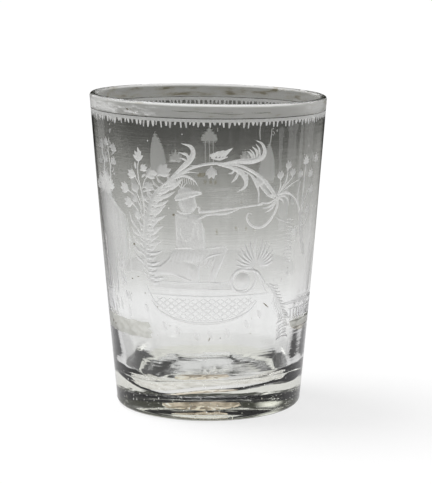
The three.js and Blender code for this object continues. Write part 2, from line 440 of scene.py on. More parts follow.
def spiral(start, end, start_size, end_size, steps):
    """Points round the volute's eye between two angles, its radius changing evenly"""
    line = []
    for i in range(steps + 1):
        share = i / steps
        size = start_size + (end_size - start_size) * share
        line.append(eye + turned((size, 0), start + (end - start) * share))
    return line


cut(spiral(262, 66, 4.2, 4.0, 9) + [(17.8, 54.7), (19.9, 52.8), (21.9, 50.0)], (0.6, 1.2, 1.2, 1.0, 0.7),
    0.24)
cut([(18.2, 53.9), (20.0, 51.6), (21.4, 48.6), (23.4, 46.0)], (0.3, 0.7, 0.6, 0.3), 0.14)
cut(spiral(262, 420, 4.2, 6.0, 8), (0.6, 1.0, 0.8, 0.3), 0.2)
field([eye + turned((3.0, 0), angle) for angle in range(0, 360, 30)], 0.5, "faint", 3.0)
cut([(10.4, 48.4), (12.6, 47.8), (14.8, 48.5)], (0.3, 0.8, 0.3), 0.14)
cut([(22.6, 49.6), (25.0, 47.2), (27.4, 43.8), (30.0, 40.2), (33.0, 37.4)], (0.5, 0.9, 0.9, 0.7, 0.3), 0.18)
for number in range(11):
    base = np.array([23.6 + 0.8 * number, 49.6 - 1.15 * number])
    leaf(base, base + np.array([4.6 - 0.12 * number, -0.9 - 0.12 * number]), 1.0, -0.14, 0.2)
    if number > 3:
        leaf(base - np.array([0.3, 0.5]), base + np.array([-1.4, -3.2]), 0.8, 0.1, 0.18)
for number in range(8):
    z = 37.6 - 1.15 * number
    leaf((31.6, z), (35.0 + 0.8 * math.sin(2 * number), z - 0.6 + jitter(1)), 1.1, 0.12, 0.2)
    leaf((31.4, z), (28.6, z - 1.6 + jitter(1)), 0.9, -0.12, 0.16)

# The palm fan on the volute: long blades from one root, each with a fainter touch beside it from
# a second pass of the wheel.
root = np.array([18.0, 56.2])
fan_blades = 13
for number in range(fan_blades):
    angle = 172 - 13.2 * number
    reach = 7.2 + 3.4 * math.sin(math.pi * (number + 1.5) / (fan_blades + 1))
    tip = root + turned((reach, 0), angle)
    leaf(root + turned((1.4, 0), angle), tip, 1.1, 0.08 if angle > 90 else -0.08, 0.17)
    leaf(root + turned((3.0, 0), angle - 6), root + turned((0.72 * reach, 0), angle - 7), 0.6, 0, 0.1, "soft")

# The paling at the right: a broad rail and a thin one, each struck along the wall in one go, over
# a row of short pales.
cut([(31.0, 41.2), (44.0, 41.3), (62.0, 41.2)], (1.0, 1.4, 1.4), 0.12, step=1.4)
cut([(34.6, 38.9), (48.0, 38.9), (62.0, 38.9)], (0.5, 0.6, 0.5), 0.1, step=1.4)
for number in range(12):
    s = 36.2 + 2.25 * number
    cut([(s, 38.6), (s + 0.1, 34.8)], (0.9, 1.2, 1.0), 0.14)
    if number % 4 == 1:
        cut([(s, 40.8), (s, 38.4)], (1.4, 1.4), 0.14)

# The trees and slopes at both sides, which close the picture: tall stems with tufts of leaves over
# matt slopes, on the left a steep one that many overlapping touches have ground pale.


def tuft(at, size, finish="bright"):
    """A tuft of seven leaves spread upwards from one place"""
    at = np.array(at)
    for spread in range(-75, 80, 25):
        tip = at + turned((0, size * (1 - abs(spread) / 190)), spread)
        leaf(at, tip, 0.32 * size, 0.08 if spread < 0 else -0.08, 0.16, finish)


cut([(41.8, 58.0), (38.6, 66.0), (37.2, 74.0), (35.6, 80.0), (36.4, 85.0)], (1.0, 0.9, 0.7, 0.5), 0.16)
cut([(43.0, 58.0), (40.0, 66.0), (38.8, 75.0), (38.8, 84.0), (39.4, 92.0)], (0.9, 0.8, 0.7, 0.4), 0.16)
for at in ((39.4, 91.0), (43.4, 86.0), (44.8, 80.0), (43.0, 73.0), (35.0, 66.0), (47.5, 91.0)):
    tuft(at, 3.4)
cut([(38.8, 76.0), (42.0, 81.0), (44.6, 82.0)], (0.5, 0.5, 0.3), 0.1)
cut([(39.6, 68.0), (42.6, 71.0), (43.4, 73.6)], (0.5, 0.5, 0.3), 0.1)
for number in range(13):
    z = 72.0 - 1.25 * number
    cut([(30.4, z), (32.2, z + 0.1), (34.0, z - 0.5)], (0.2, 0.5, 0.2), 0.08, "soft")
cut([(25.0, 73.4), (28.6, 71.7), (32.8, 70.6)], (0.2, 0.5, 0.3), 0.1, "soft")
cut([(26.0, 81.2), (29.6, 81.5), (33.2, 79.9), (35.8, 77.0), (37.2, 73.4), (38.6, 69.0)],
    (0.5, 0.7, 0.6, 0.3), 0.14)
for s, z in ((33.2, 61.2), (32.6, 52.4), (29.6, 50.2)):
    cut([(s, z + 0.8), (s, z - 0.8)], (0.3, 0.8, 0.3), 0.16)
cut([(-46.4, 80.8), (-42.0, 79.6), (-37.0, 76.0), (-33.0, 73.4)], (0.5, 1.3, 1.2, 0.5), 0.14, "soft")
cut([(-33.0, 73.4), (-31.6, 67.0), (-28.6, 61.0)], (0.4, 0.5, 0.3), 0.1, "soft")
field([(-50.0, 79.0), (-42.0, 79.4), (-37.0, 75.8), (-33.2, 72.6), (-32.8, 68.0), (-34.6, 64.0),
       (-38.0, 66.0), (-42.0, 63.0), (-50.0, 66.0)], 0.03, "faint", 1.2)
for number in range(14):
    s = -46.0 + 1.05 * number + jitter(0.5)
    top = 80.0 - 0.75 * max(0, s + 42.0)
    cut([(s, top), (s + 0.5, top - 7.0), (s + 0.3, top - 16.0 + jitter(4))], (0.3, 0.9, 0.3), 0.08,
        "bright" if number % 2 else "soft", step=2.0)
cut([(-45.4, 86.0), (-44.0, 91.0), (-45.2, 95.0), (-44.6, 99.4)], (0.9, 1.0, 0.9, 0.3), 0.14)
cut([(-40.6, 84.0), (-39.8, 90.0), (-40.4, 96.0), (-39.4, 100.0)], (0.6, 0.6, 0.5, 0.2), 0.12)
for at in ((-45.2, 96.0), (-42.6, 91.4), (-47.4, 90.4), (-37.6, 91.0), (-41.8, 97.4), (-37.0, 95.6)):
    tuft(at, 3.0, "soft")
for at in ((-44.4, 84.0), (-49.0, 83.4), (-40.4, 82.0), (-47.0, 80.8), (-52.0, 81.0), (-43.4, 80.2)):
    tuft(at, 4.2)
thicket_leaves = 70
for number in range(thicket_leaves):
    s = chance.uniform(-47.5, -37.5)
    z = chance.uniform(62.0, 102.0)
    aim = 90 + jitter(70)
    tip = turned((1.2 + 2.2 * chance.uniform(), 0), aim) + np.array([s, z])
    leaf((s, z), tip, 0.8, jitter(0.2), 0.1, "faint" if number % 3 else "soft")
field([(-50.0, 82.0), (-46.0, 86.0), (-42.6, 88.4), (-41.0, 86.0), (-41.2, 82.6), (-40.0, 79.4),
       (-44.0, 80.2), (-48.0, 79.4)], 0.12, "soft")
slope_touches = 30
for number in range(slope_touches):
    s = -47.0 + 0.47 * number + jitter(0.3)
    top = 78.5 - 0.9 * max(0, s + 42.0) + jitter(1.2)
    low = (57 if s > -40 else 44) + jitter(6)
    cut([(s, top), (s - 0.3, (top + low) / 2), (s - 0.2, low)], (0.5, 1.1 + jitter(0.5), 0.9, 0.2), 0.04,
        "soft" if chance.uniform() < 0.6 else "faint", step=2.0)
for points, width in ((((-43.6, 74.0), (-43.8, 66.0), (-44.6, 58.0)), 1.2),
                      (((-41.0, 54.4), (-40.4, 48.0), (-40.8, 44.0)), 0.9)):
    cut(points, (0.3, width, width, 0.3), 0.1, "soft")

# Threads and rubs at both sides: fine upright lines that the maker's tools drew while the glass
# was soft, and patches that years of handling have made hazy.
for points, width in ((((17.4, 107.0), (17.2, 104.0), (17.5, 101.2)), 0.45),
                      (((21.7, 105.0), (21.4, 99.4)), 0.4)):
    cut(points, (0.6 * width, width, 0.6 * width), 0.04, "faint")
for left, right, low, high in ((25.0, 26.4, 88.0, 105.0), (28.6, 33.0, 84.0, 106.0),
                               (34.6, 36.2, 80.0, 106.0), (37.6, 43.0, 60.0, 106.0),
                               (-48.0, -42.0, 74.0, 106.0)):
    edge = [(left + jitter(0.4), z) for z in np.linspace(high, low, 7)]
    edge += [(right + jitter(0.4), z) for z in np.linspace(low, high, 7)]
    field(edge, 0, "haze")
field([(36.0, 60.0), (42.0, 62.0), (54.0, 60.0), (54.0, 45.0), (44.0, 43.0), (38.0, 46.0)], 0, "haze")
rubbed_touches = 24
for number in range(rubbed_touches):
    s = chance.uniform(-50.0, -33.0)
    z = chance.uniform(37.5, 56.0)
    cut([(s - 0.6, z + 2.0), (s, z), (s + 0.6, z - chance.uniform(1, 3))],
        (0.3, chance.uniform(1.0, 2.0), 0.4), 0.05, ("polished", "haze", "faint")[number % 3])
for number in range(9):
    dot = (22.8 + jitter(1.0), 104.0 + jitter(1.2))
    cut([dot, (dot[0] + 0.3, dot[1] - 0.3)], (0.25, 0.3), 0.1, "faint")

# The bare rim over the border: short pale scratches round it, whiter on its left side, where the extra
# whiteness is painted light; painted highlights, small bright streaks and dots standing in for lamp glints,
# most on the left; a few dark specks; and thin brown lines of dirt.
rim_streaks = 80
for number in range(rim_streaks):
    s = chance.uniform(-54, -20) if number % 3 else chance.uniform(34, 54)
    z = chance.uniform(109.3, 112.1)
    reach = chance.uniform(2.0, 6.0)
    # On the left every other streak takes the bright finish: painted light on the lit side.
    cut([(s, z), (s + reach / 2, z + 0.1), (s + reach, z)], (0.1, 0.6, 0.1), 0.02,
        "bright" if s < 0 and number % 2 else "soft", step=2.0)
# Painted highlights: sixty short bright streaks on the left of the rim.
painted_rim_glints = 60
for number in range(painted_rim_glints):
    s = chance.uniform(-60, -36)
    z = chance.uniform(109.2, 112.1)
    cut([(s, z), (s + 1.6, z + 0.1), (s + 3.2, z)], (0.1, 0.7, 0.1), 0.02, "bright", step=2.0)
# The bright dots are painted highlights; the speck dots are dark specks.
for s, z, size, finish in ((-32.2, 111.3, 1.0, "bright"), (-20.6, 109.6, 1.0, "bright"),
                           (11.0, 111.2, 0.5, "bright"), (-35.0, 111.2, 0.6, "speck"),
                           (-28.6, 110.8, 0.6, "speck"), (-27.2, 110.9, 0.4, "speck")):
    cut([(s - size, z), (s + size, z - 0.1)], (0.5 * size, size, 0.3 * size), 0.05, finish)
for s, z, reach in ((-12.0, 111.2, 9.0), (-4.0, 110.9, 12.0), (3.0, 110.4, 8.0), (14.0, 110.8, 7.0)):
    cut([(s, z), (s + reach / 2, z - 0.15), (s + reach, z)], (0.05, 0.22, 0.05), 0.01, "stain", step=2.0)

# Dark stones caught in the melt, dust and tiny nicks all over, mostly low down, and two brownish
# stains.
for s, z, size in ((-29.1, 63.3, 0.9), (-31.2, 50.6, 0.8), (-28.2, 51.6, 0.7), (-25.2, 46.0, 0.6),
                   (-20.0, 41.5, 0.6), (-15.0, 35.0, 0.5), (-12.2, 75.0, 0.9), (-17.6, 71.8, 0.5),
                   (16.6, 32.2, 0.5), (39.8, 73.0, 0.5), (-49.0, 32.4, 1.2), (-46.5, 31.8, 1.0)):
    cut([(s - 0.5 * size, z), (s + 0.5 * size, z + 0.2 * size)], (0.5 * size, size, 0.4 * size), 0.08,
        "speck")
cut([(21.7, 42.8), (24.0, 41.0)], (0.2, 0.5, 0.2), 0.1, "speck")
cut([(0.1, 30.0), (0.5, 31.2)], (0.2, 0.4, 0.2), 0.1, "speck")
dust_marks = 330
for number in range(dust_marks):
    s = seam + wrap * chance.uniform()
    z = 3.4 + 12.0 * chance.uniform() ** 1.5 if number % 3 else 12 + 92 * chance.uniform()
    size = 0.26 + 0.4 * chance.uniform() ** 2
    cut([(s, z), (s + 0.6 * size, z + 0.5 * size * jitter(1))], (size, size), 0.04, "nick")
field([(-3.8, 89.2), (-2.8, 90.1), (-1.0, 90.0), (-1.4, 88.9), (-3.0, 88.6)], 0.03, "stain", 0.6)
field([(38.0, 32.0), (48.0, 31.4), (60.0, 32.0), (60.0, 28.4), (50.0, 29.4), (42.0, 30.4)], 0.02, "stain",
      1.0)

# The strip of ground that runs behind the basket at both sides: a plain band, ground with a flat-edged
# wheel, with a ragged end at the left. Its darker olive grey finish is painted shade.
strip = [(s, 35.4 + jitter(0.3)) for s in np.arange(-57.0, -24.0, 2.5)]
strip += [(-23.4, 34.0), (-24.8, 33.2), (-22.6, 32.0), (-24.0, 31.0), (-23.0, 30.0)]
strip += [(s, 29.6 + jitter(0.3)) for s in np.arange(-25.5, -57.5, -2.5)]
field(strip, 0.07, "dull_painted_shade", 0.6, False)
field([(36.0, 34.2), (48.0, 34.0), (62.0, 33.8), (62.0, 30.8), (48.0, 31.2), (37.6, 31.8)], 0.07, "dull_painted_shade",
      0.5, False)

# The garden house on the far side: a domed turret on thin columns over a long house with rows
# of windows, between cypresses. It shows through the beaker behind the arch.
house = wrap / 2 - 0.3
field([(house - 3.4, 91.3), (house - 3.7, 93.2), (house - 2.2, 94.6), (house - 1.0, 95.8), (house, 96.8),
       (house + 1.0, 95.8), (house + 2.2, 94.6), (house + 3.7, 93.2), (house + 3.4, 91.3)], 0.03, "faint",
      0.9)
for offset in (-1.9, 0.1, 2.1):
    cut([(house + offset, 91.2), (house + offset, 83.2)], (0.5, 0.4, 0.5), 0.05, "faint", step=1.4)
for number in range(20):
    z = 73.0 - 0.6 * number
    left = house - 19.0 + 4.0 * chance.uniform() + (4.5 if z < 67 else 0)
    right = house + 3.0 - 4.0 * chance.uniform() - (4.0 if z < 67 else 0)
    cut([(left, z), ((left + right) / 2, z + jitter(0.2)), (right, z)], (0.2, 0.7, 0.8, 0.2), 0.02,
        "haze" if number % 3 else "faint", step=3.0)
for s, z, wide, high in ((2.2, 75.6, 1.5, 1.5), (-0.4, 75.8, 1.7, 1.7), (-2.9, 75.6, 1.6, 1.6),
                         (-13.7, 68.2, 0.9, 0.7), (-11.9, 58.2, 1.1, 0.8), (-16.0, 58.2, 1.2, 1.0),
                         (-19.8, 58.5, 1.2, 1.0), (-3.3, 56.4, 1.6, 1.4), (5.0, 56.4, 0.9, 0.8)):
    cut([(house + s, z - high / 2), (house + s, z + high / 2)], (0.6 * wide, wide, 0.6 * wide), 0.02, "stain")


def cypress(s, low, high, width):
    """A tall pointed tree: one patch with short touches at both sides"""
    share = (high - low) / 10
    side = [(0.38, 0), (0.49, 1.6), (0.5, 3.6), (0.42, 6.0), (0.25, 8.2), (0.08, 9.5)]
    field([*((s - w * width, low + h * share) for w, h in side), (s, high),
           *((s + w * width, low + h * share) for w, h in side[::-1])], 0.06, "faint", 1.2)
    for number in range(6):
        level = low + (0.1 + 0.12 * number) * (high - low)
        for way in (-1, 1):
            leaf((s, level), (s + way * 0.62 * width * (1 - 0.13 * number), level + 1.6), 1.4, 0, 0.06,
                 "faint")


cypress(-105.2 + wrap, 79.0, 95.3, 6.6)
cypress(101.4, 77.0, 91.6, 7.2)
cypress(-91.5 + wrap, 62.0, 84.0, 6.0)
cypress(90.0, 60.0, 82.0, 6.0)
for at in ((-98.0 + wrap, 70.0), (-112.0 + wrap, 84.0), (97.0, 72.0), (84.0, 70.0), (110.0, 84.0)):
    tuft(at, 4.6, "faint")
field([(78.0, 49.0), (110.0, 49.6), (150.0, 49.4), (168.0, 48.8), (168.0, 44.6), (140.0, 43.6),
       (100.0, 43.6), (78.0, 44.4)], 0.04, "faint", 1.2)

# The glass itself: one mesh. The outside wall is triangulated flat, in s and z, through every
# line that the wheel left, and rolled up; rings close it over the lip, the inside and the foot.
columns = 180
column_step = wrap / columns
wall_low = 2.6
wall_high = (lip_level - lip_radius * math.sin(wall_tilt)) / MM
teeth_low = 104.0
plain_rows = 41
rim_line = 108.9
creases = (wall_low, band_low, band_high, rim_line, wall_high)
levels = [*np.linspace(wall_low, teeth_low, plain_rows), *creases[1:]]
points_in = []
edges_in = []
faces_in = []
face_finish = []
for row, level in enumerate(levels):
    start = len(points_in)
    points_in += [(seam + c * column_step, float(level)) for c in range(columns + 1)]
    if level in creases:
        edges_in += [(start + c, start + c + 1) for c in range(columns)]
    if row:
        edges_in += [(start - columns - 1, start), (start - 1, start + columns)]


def homed(line):
    """A line brought into the unrolled stretch that starts at the seam"""
    line = np.array(line, float)
    if line[:, 0].mean() < seam:
        line[:, 0] += wrap
    return line


smallest_area = 1e-4


def add_face(corners, finish):
    """An outline that the triangles follow, turned counterclockwise; slivers are left out"""
    after = np.roll(corners, -1, axis=0)
    area = np.sum(corners[:, 0] * after[:, 1] - after[:, 0] * corners[:, 1])
    if abs(area) < smallest_area:
        return
    first = len(points_in)
    points_in.extend((float(p[0]), float(p[1])) for p in (corners if area > 0 else corners[::-1]))
    faces_in.append(list(range(first, first + len(corners))))
    face_finish.append(finish)


# Inside a patch, spare points a little over a millimetre apart let its hollow curve.
filling = 1.1
inset = 0.5
for mark in fields:
    ring = homed(mark["ring"])
    mark["ring"] = ring
    add_face(ring, mark["finish"])
    low = ring.min(0) + inset
    high = ring.max(0)
    for s in np.arange(low[0], high[0], filling):
        points_in += [(float(s), float(z)) for z in np.arange(low[1], high[1], filling)]
for mark in cuts:
    line = homed(mark["line"])
    mark["line"] = line
    ahead = np.gradient(line, axis=0)
    ahead /= np.linalg.norm(ahead, axis=1)[:, None]
    side = np.stack([-ahead[:, 1], ahead[:, 0]], axis=1) * mark["half"][:, None]
    for i in range(len(line) - 1):
        for sign in (-1, 1):
            corners = [line[i], line[i + 1], line[i + 1] + sign * side[i + 1], line[i] + sign * side[i]]
            add_face(np.array(corners), mark["finish"])

same_point = 2e-3
whole_hull = 0
flat_points, _, triangles, _, _, from_faces = delaunay_2d_cdt(
    [Vector(p) for p in points_in], edges_in, faces_in, whole_hull, same_point, True)
flat = np.array([tuple(p) for p in flat_points])


def distance_to_line(p, a, b):
    """How far points lie from a piece of line, and how far along it, from 0 to 1"""
    run = b - a
    share = np.clip(((p - a) @ run) / max(run @ run, 1e-12), 0, 1)
    return np.linalg.norm(p - (a + share[:, None] * run), axis=1), share


# How deep the wheel went at every point: a round groove along a cut, as deep as the cut says where
# it is wide enough, and a shallow hollow with a soft edge in a patch.
narrowest = 0.02
full_depth_width = 0.35
groove = np.zeros(len(flat))
for mark in cuts:
    line = mark["line"]
    half = mark["half"]
    reach = half.max() + 0.01
    near = np.where(np.all((flat > line.min(0) - reach) & (flat < line.max(0) + reach), axis=1))[0]
    depth = np.zeros(len(near))
    for i in range(len(line) - 1):
        away, share = distance_to_line(flat[near], line[i], line[i + 1])
        width = np.maximum(half[i] + (half[i + 1] - half[i]) * share, narrowest)
        bowl = np.clip(1 - (away / width) ** 2, 0, 1) * np.minimum(1, width / full_depth_width)
        depth = np.maximum(depth, mark["depth"] * bowl)
    groove[near] = np.maximum(groove[near], depth)
for mark in fields:
    ring = mark["ring"]
    near = np.where(np.all((flat > ring.min(0)) & (flat < ring.max(0)), axis=1))[0]
    p = flat[near]
    inside = np.zeros(len(near), bool)
    away = np.full(len(near), np.inf)
    for a, b in zip(ring, np.roll(ring, -1, axis=0)):
        if a[1] != b[1]:
            crosses = (a[1] > p[:, 1]) != (b[1] > p[:, 1])
            inside ^= crosses & (p[:, 0] < (b[0] - a[0]) * (p[:, 1] - a[1]) / (b[1] - a[1]) + a[0])
        away = np.minimum(away, distance_to_line(p, a, b)[0])
    depth = np.where(inside, mark["depth"] * np.minimum(1, away / mark["edge"]), 0)
    groove[near] = np.maximum(groove[near], depth)

# Where marks cross, the one that stands later in this list is what shows. The bare rim over the
# border is worn all round, and stained at the back.
strength = ["clear", "haze", "nick", "stain", "faint", "dull_painted_shade", "soft", "bright", "polished", "speck"]
on_rim = ("speck", "soft", "bright", "stain")
stained_half = 0.3 * wrap
wall_finish = []
for corners, sources in zip(triangles, from_faces):
    s, level = flat[list(corners)].mean(0)
    marks = [face_finish[f] for f in sources]
    if level > rim_line:
        plain = "stained_rim" if abs(s - wrap / 2) < stained_half else "rim"
        wall_finish.append(next((m for m in marks if m in on_rim), plain))
    elif band_low < level < band_high:
        wall_finish.append("soft")
    else:
        wall_finish.append(max(marks, key=strength.index, default="clear"))

# The flat wall rolled up, with its two edges joined at the seam.
near_enough = 1e-3
vertices = []
wall_normal = []
on_seam = {}
wall_vertex = []
for (s, z), depth in zip(flat, groove):
    if s > seam + wrap - near_enough:
        s -= wrap
    at_seam = abs(s - seam) < near_enough
    if at_seam and round(z, 3) in on_seam:
        wall_vertex.append(on_seam[round(z, 3)])
        continue
    if at_seam:
        on_seam[round(z, 3)] = len(vertices)
    angle = s / around
    normal = outer_normal(angle, z * MM)
    wall_vertex.append(len(vertices))
    wall_normal.append(normal)
    vertices.append(outer_point(angle, z * MM) - normal * depth * MM)
faces = []
slots = []
for corners, finish in zip(triangles, wall_finish):
    face = [wall_vertex[c] for c in corners]
    if len(set(face)) == 3:
        faces.append(face)
        slots.append(finish)
low_ring = {}
high_ring = {}
for (s, z), vertex in zip(flat, wall_vertex):
    column = round((s - seam) / column_step) % columns
    if abs(z - wall_low) < near_enough:
        low_ring[column] = vertex
    elif abs(z - wall_high) < near_enough:
        high_ring[column] = vertex

# Foot and heel: the ring that it stands on is ground flat, and the hollow inside it is pushed up
# off centre around the scar, where the pontil rod was broken away.
heel_radius = 2.2 * MM
ring_inner = foot_radius - heel_radius - 8.8 * MM
kick_depth = 2.6 * MM
kick_aside = -1.8 * MM
scar_radius = 10.5 * MM
scar_drop = 1.2 * MM
scar_flat = 0.85
heel_steps = 10
foot_steps = 5
kick_steps = 16
scar_steps = 7


def kick_level(radius):
    return kick_depth * math.cos(math.pi / 2 * min(1, radius / ring_inner))


def worn(angle, radius):
    """Where the foot ring is rubbed matt: mostly at the front, in ragged patches elsewhere"""
    front = math.cos(angle + 0.12) - 0.86
    patches = 0.09 * math.sin(5 * angle + 1) + 0.07 * math.sin(11 * angle + 700 * radius) - 0.02
    return max(front, 0.4 * front + 0.28) + patches > 0


def in_steps(start, end, steps):
    """Radii from start to end in even steps, without the start"""
    return [start + (end - start) * i / steps for i in range(1, steps + 1)]


heel_level = heel_radius * (1 - math.sin(wall_tilt))
heel_middle = outer_radius(heel_level) - heel_radius * math.cos(wall_tilt)
heel = arc(heel_middle, heel_radius, heel_radius, heel_radius, -wall_tilt, -math.pi / 2, heel_steps)
below = [(r, z, "clear") for r, z in heel]
below += [(r, 0.0, "foot") for r in in_steps(heel[-1][0], ring_inner, foot_steps)]
below += [(r, kick_level(r), "under") for r in in_steps(ring_inner, scar_radius, kick_steps)]
scar_rings = in_steps(0, scar_radius * scar_flat, scar_steps)[::-1]
below += [(r, kick_level(r) - scar_drop, "scar") for r in scar_rings]

# Lip, inside and inner floor: the lip is rounded by the fire, and the floor runs up into the
# wall in a wide soft round that narrows what is seen through the heavy base.
lip_steps = 16
worn_lip_steps = 4
corner_steps = 20
floor_steps = 14
inside_step = 2 * MM
lip_middle = outer_radius(lip_level - lip_radius * math.sin(wall_tilt)) - lip_radius * math.cos(wall_tilt)
lip = arc(lip_middle, lip_level, lip_radius, lip_radius, -wall_tilt, math.pi - wall_tilt, lip_steps)
corner = arc(inner_radius(corner_level) - corner_width, corner_level,
             corner_width, corner_level - floor_level, 0, -math.pi / 2, corner_steps)
above = [(r, z, "rim" if i < worn_lip_steps else "lip") for i, (r, z) in enumerate(lip[1:])]
for z in np.arange(lip[-1][1] - inside_step, corner_level + inside_step / 2, -inside_step):
    above.append((inner_radius(z), z, "inside"))
above += [(r, z, "inside") for r, z in corner]
above += [(corner[-1][0] * (1 - i / floor_steps), floor_level, "inside") for i in range(1, floor_steps)]

# Where the inner floor rises or sinks: how far right and back, how wide and by how much, in mm
dents = ((-18, -18, 11, -2.4), (24, 0, 7, -1.2), (-24, 2, 6, 1.2),
         (7, 14, 5, 1.1), (-12, 15, 5, 1.1), (18, 12, 8, -1.3))
# Where the lower inner wall stands in or out: the angle round the axis, and by how much, in mm
bulges = ((-118, 3.2), (118, -2.4))
bulge_level = 13.5
bulge_high = 6.5


def uneven_inside(radius, level, angle):
    """Radius and level of a point of the inside, as the blower left it"""
    ripple = 0.06 * math.sin(9 * angle + 14 * level) + 0.02 * math.sin(23 * angle + 1.3 + 60 * level)
    radius += ripple * MM * min(1, radius / (20 * MM))
    low = max(0, 1 - (level - floor_level) / (8 * MM))
    level += 0.5 * MM * low * math.sin(angle) * min(1, radius / (26 * MM))
    across = radius * math.sin(angle) / MM
    behind = -radius * math.cos(angle) / MM
    for x, y, wide, rise in dents:
        level += rise * MM * low * math.exp(-((across - x) ** 2 + (behind - y) ** 2) / wide**2)
    for turn, thick in bulges:
        along = math.remainder(angle - math.radians(turn), 2 * math.pi) * 32 / 7
        radius -= thick * MM * math.exp(-along**2 - ((level / MM - bulge_level) / bulge_high) ** 2)
    level += low * MM * (0.16 * math.sin(3 * angle + 260 * radius) + 0.08 * math.sin(7 * angle + 1))
    return radius, level


def uneven_under(radius, level, angle):
    """Radius and level of a point of the kick or the scar, as the pontil left it"""
    level += 0.16 * MM * math.sin(2 * angle + 0.6) * math.sin(math.pi * min(1, radius / ring_inner))
    ragged = 0.2 * math.cos(angle + 0.5) - 0.4 * max(0, math.cos(angle + 2.3)) ** 2
    ragged += 0.4 * max(0, math.cos(angle)) ** 2
    ragged += 0.04 * math.sin(3 * angle + 1) + 0.025 * math.sin(7 * angle)
    radius *= 1 + ragged * min(1, (ring_inner - radius) / (ring_inner - scar_radius))
    return radius, level


def broken_off(radius, level, angle):
    """The level of the scar, which is rough and hangs lowest at the front left"""
    level -= 0.12 * MM * math.sin(5 * angle + 900 * radius) * math.sin(1100 * radius)
    return level - 0.6 * MM * max(0, math.cos(angle + 0.7)) * min(1, radius / (8 * MM))


def ring_point(radius, level, angle, kind):
    """A point of the turned form, moved a little as the blower and the pontil left it"""
    aside = 0
    if kind == "inside":
        radius, level = uneven_inside(radius, level, angle)
    if kind in ("under", "scar"):
        aside = kick_aside * max(0, 1 - (radius / ring_inner) ** 2)
        radius, level = uneven_under(radius, level, angle)
    if kind == "scar":
        level = broken_off(radius, level, angle)
    settled = leaning(angle, level)
    radius += outer_radius(settled) - outer_radius(level)
    return on_circle(radius, angle, settled) + Vector((aside, 0, 0))


# Three painted highlights on top of the lip: bright ground spots at these angles round the axis
painted_lip_glints = (2.11, 2.73, 3.74)
lip_glint_half = 0.03


def ring_finish(kind, radius, level, angle):
    """The finish of a face of the rings, where it isn't simply clear"""
    if kind == "scar":
        edge = (3 + 1.6 * math.sin(7 * angle) + 1.2 * math.sin(17 * angle + radius / MM)) * MM
        return "scar_back" if radius * math.cos(angle + 0.5) < edge else "scar"
    if kind == "foot":
        return "foot" if worn(angle, radius) else "clear"
    if kind == "lip":
        # Bright ground at these angles on top of the lip is a painted highlight.
        at_lip_glint = min(abs(angle % (2 * math.pi) - glint_angle) for glint_angle in painted_lip_glints) < lip_glint_half
        return "bright" if at_lip_glint and level > lip_level + 0.7 * lip_radius else "clear"
    return kind if kind in ("rim", "under") else "clear"


def add_rings(first_ring, rings, close_level, flip):
    """Rings joined to the wall's edge one after another, and closed with a point on the axis"""
    ring = [first_ring[c] for c in range(columns)]
    for radius, level, kind in rings:
        new = list(range(len(vertices), len(vertices) + columns))
        angles = [(seam + c * column_step) / around for c in range(columns)]
        vertices.extend(ring_point(radius, level, angle, kind) for angle in angles)
        for c, angle in enumerate(angles):
            d = (c + 1) % columns
            face = [ring[c], ring[d], new[d], new[c]]
            faces.append(face[::-1] if flip else face)
            slots.append(ring_finish(kind, radius, level, angle))
        ring = new
    vertices.append(ring_point(0, close_level, 0, rings[-1][2]))
    for c in range(columns):
        face = [ring[c], ring[(c + 1) % columns], len(vertices) - 1]
        faces.append(face[::-1] if flip else face)
        slots.append("scar" if flip else "clear")


add_rings(high_ring, above, floor_level, False)
add_rings(low_ring, below, kick_depth - scar_drop, True)

# Air bubbles that were caught in the melt: small and round, close together in the heavy base, and
# a few in the wall, which the blowing has stretched upwards.
base_bubbles = 90
wall_bubbles = 40
bubble_sides = 6


def bubble(middle, size, stretch):
    """A closed hollow inside the glass"""
    first = len(vertices)
    vertices.append(middle - Vector((0, 0, size * stretch)))
    vertices.append(middle + Vector((0, 0, size * stretch)))
    for lift in (-0.5, 0.5):
        wide = size * math.sqrt(1 - lift * lift)
        for i in range(bubble_sides):
            turn = 2 * math.pi * i / bubble_sides
            corner = Vector((wide * math.cos(turn), wide * math.sin(turn), size * stretch * lift))
            vertices.append(middle + corner)
    for i in range(bubble_sides):
        a = first + 2 + i
        b = first + 2 + (i + 1) % bubble_sides
        faces.extend([[first, a, b], [a, a + bubble_sides, b + bubble_sides, b],
                      [first + 1, b + bubble_sides, a + bubble_sides]])
        slots.extend(["clear"] * 3)


chance = np.random.default_rng(11)
for number in range(base_bubbles):
    radius = (24 + 8.6 * chance.uniform()) * MM
    level = (1.2 + 6.0 * chance.uniform()) * MM
    middle = on_circle(radius, 2 * math.pi * chance.uniform(), level)
    bubble(middle, (0.14 + 0.26 * chance.uniform() ** 2) * MM, 1.0)
for number in range(wall_bubbles):
    level = (18 + 86 * chance.uniform()) * MM
    middle = on_circle(outer_radius(level) - 1.2 * MM, 2 * math.pi * chance.uniform(), level)
    bubble(middle, (0.1 + 0.1 * chance.uniform()) * MM, 1.5)

